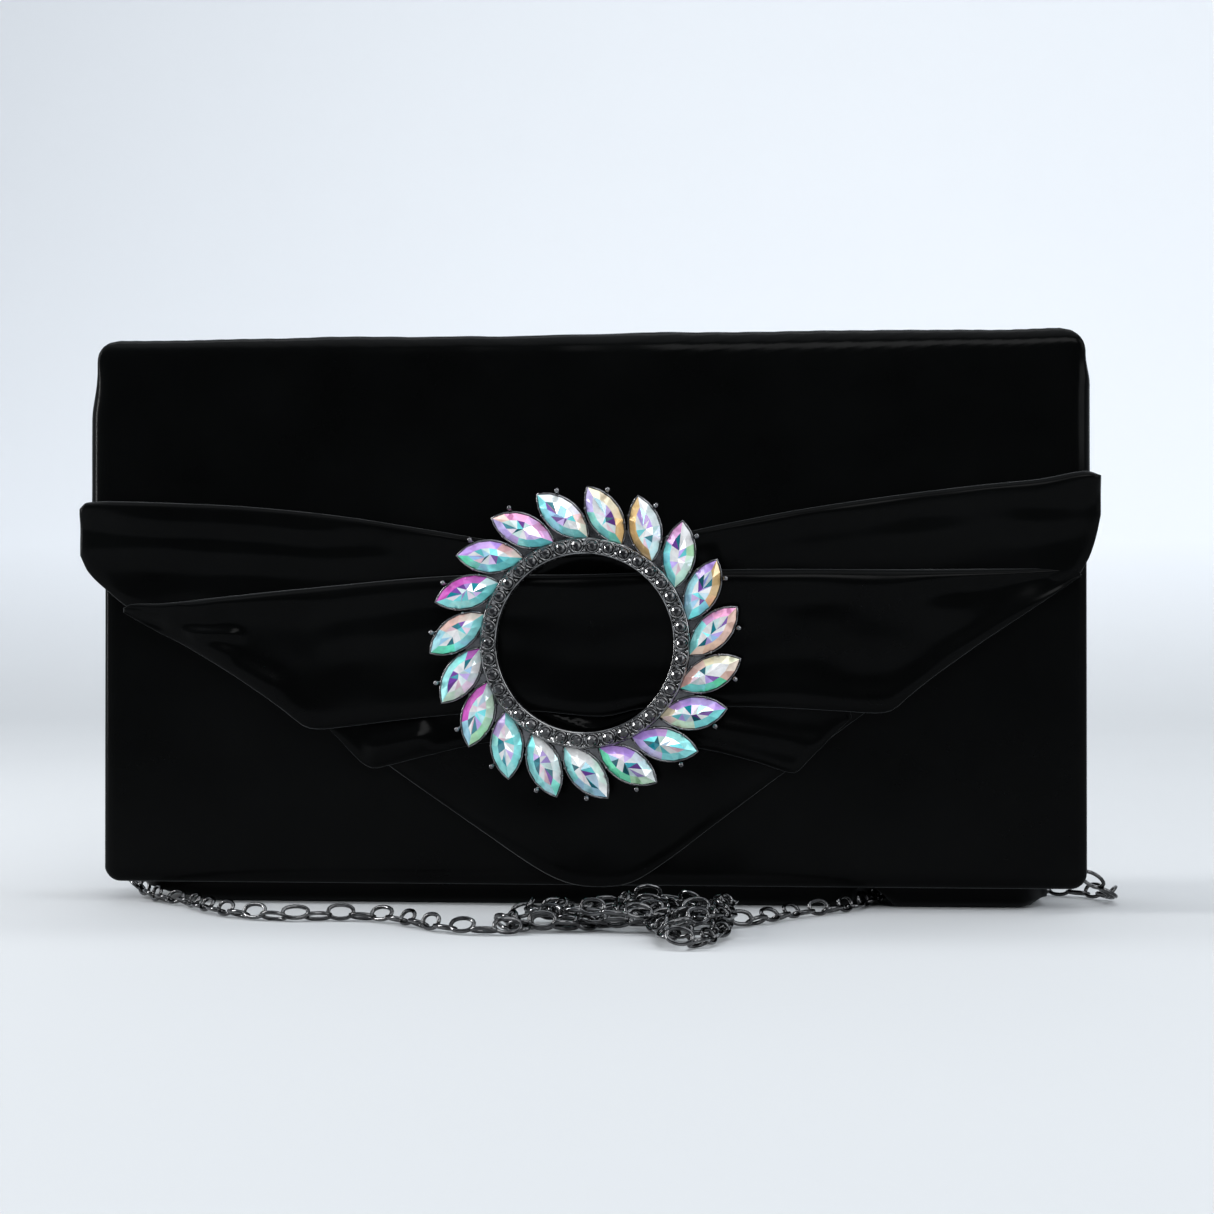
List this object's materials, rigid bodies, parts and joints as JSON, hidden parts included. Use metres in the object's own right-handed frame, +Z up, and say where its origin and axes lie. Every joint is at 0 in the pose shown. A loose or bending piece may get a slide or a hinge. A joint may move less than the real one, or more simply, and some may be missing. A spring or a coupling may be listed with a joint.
{
  "type": "evening bag",
  "caption": "Envelope evening bag with a pointed flap, draped sash pleats, a round brooch of navette stones and a loose cable chain; the flap opens on two folds.",
  "frame": {"origin": "middle of the base, on the surface the bag stands on", "axes": "+X to the right seen from the front, -Y to the front with the flap and brooch, +Z up"},
  "size_m": [0.2435, 0.1288, 0.1324],
  "materials": {
    "velvet": "black short-pile velvet with a soft sheen on the folds",
    "lining": "black satin lining",
    "board": "grey stiffening board, hidden",
    "gunmetal": "polished gunmetal plating",
    "chain": "gunmetal-plated oval cable links",
    "hematite": "faceted hematite-coloured stones",
    "crystal": "faceted crystal with an iridescent coating",
    "magnet": "plated magnet disc, hidden"
  },
  "bodies": {
    "body": {"back_cover": "velvet", "back_board": "board", "back_lining": "lining", "base_cover": "velvet", "base_board": "board", "base_lining": "lining", "gusset_left": "velvet", "gusset_right": "velvet", "gusset_lining_left": "lining", "gusset_lining_right": "lining", "slip_pocket": "lining", "ring_tab_left": "velvet", "ring_tab_right": "velvet", "tab_rivets": "gunmetal", "chain_left": "chain", "chain_heap": "chain", "chain_right": "chain"},
    "front_wall": {"front_cover": "velvet", "front_board": "board", "front_lining": "lining", "magnet_front": "magnet"},
    "flap_top": {"flap_top_cover": "velvet", "flap_top_board": "board", "flap_top_lining": "lining"},
    "flap_front": {"flap_cover": "velvet", "flap_board": "board", "flap_lining": "lining", "magnet_flap": "magnet", "sash_upper": "velvet", "sash_broad": "velvet", "sash_narrow": "velvet", "brooch_frame": "gunmetal", "brooch_band": "gunmetal", "brooch_posts": "gunmetal", "band_stones": "hematite", "navette_stones": "crystal", "claws": "gunmetal"},
    "ring_left": {"d_ring_left": "gunmetal", "end_link_left": "gunmetal"},
    "ring_right": {"d_ring_right": "gunmetal", "end_link_right": "gunmetal"}
  },
  "joints": [
    {"name": "flap_hinge", "type": "hinge", "parent": "body", "child": "flap_top", "pos_m": [0, 0.0203, 0.1293], "axis": [-1, 0, 0], "range_deg": [0, 180]},
    {"name": "flap_fold", "type": "hinge", "parent": "flap_top", "child": "flap_front", "pos_m": [0, -0.02035, 0.12945], "axis": [-1, 0, 0], "range_deg": [0, 90]},
    {"name": "mouth_spread", "type": "hinge", "parent": "body", "child": "front_wall", "pos_m": [0, -0.02, 0.005], "axis": [1, 0, 0], "range_deg": [0, 8], "deforming": ["gusset_left", "gusset_right", "gusset_lining_left", "gusset_lining_right"]},
    {"name": "ring_left_swing", "type": "hinge", "parent": "body", "child": "ring_left", "pos_m": [-0.107, 0, 0.112], "axis": [0, 1, 0], "range_deg": [0, 30]},
    {"name": "ring_right_swing", "type": "hinge", "parent": "body", "child": "ring_right", "pos_m": [0.107, 0, 0.112], "axis": [0, -1, 0], "range_deg": [0, 30]}
  ],
  "couplings": [
    {"joint": "mouth_spread", "follows": "flap_hinge", "ratio": 0.044443}
  ]
}
